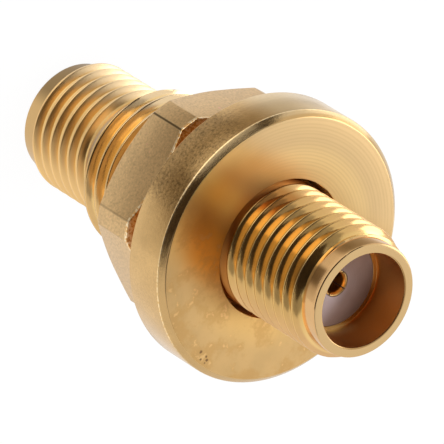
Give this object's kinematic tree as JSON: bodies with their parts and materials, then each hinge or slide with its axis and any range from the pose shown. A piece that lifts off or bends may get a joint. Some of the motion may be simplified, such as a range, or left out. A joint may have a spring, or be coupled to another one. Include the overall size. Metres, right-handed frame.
{
  "type": "sma connector",
  "caption": "Gold-plated bulkhead coaxial adapter: round flange, hex panel nut and a threaded jack with a centre socket at each end.",
  "frame": {"origin": "centre of the rear barrel's end face, on which the part stands", "axes": "+Z along the connector's axis, from the rear end to the front mouth"},
  "size_m": [0.0134, 0.0134, 0.0229],
  "materials": {
    "body_gold": "turned, satin gold plate",
    "barrel_gold": "turned, bright gold plate",
    "nut_gold": "milled, matt gold plate",
    "washer_gold": "stamped, gold plate",
    "insulator_white": "smooth fluoropolymer",
    "contact_gold": "bright gold plate"
  },
  "bodies": {
    "adapter": {"flanged_body": "body_gold", "front_barrel": "barrel_gold", "front_insulator": "insulator_white", "rear_insulator": "insulator_white", "centre_contact": "contact_gold"},
    "washer": {"lock_washer": "washer_gold"},
    "nut": {"hex_nut": "nut_gold"}
  },
  "joints": [
    {"name": "washer_slide", "type": "slide", "parent": "adapter", "child": "washer", "axis": [0, 0, 1], "range_m": [-0.0031, 0.00055]},
    {"name": "nut_turn", "type": "hinge", "parent": "washer", "child": "nut", "pos_m": [0, 0, 0.01134], "axis": [0, 0, 1], "range_deg": [-1410, 252]}
  ],
  "couplings": [
    {"joint": "nut_turn", "follows": "washer_slide", "rad_per_m": 7913.3}
  ]
}
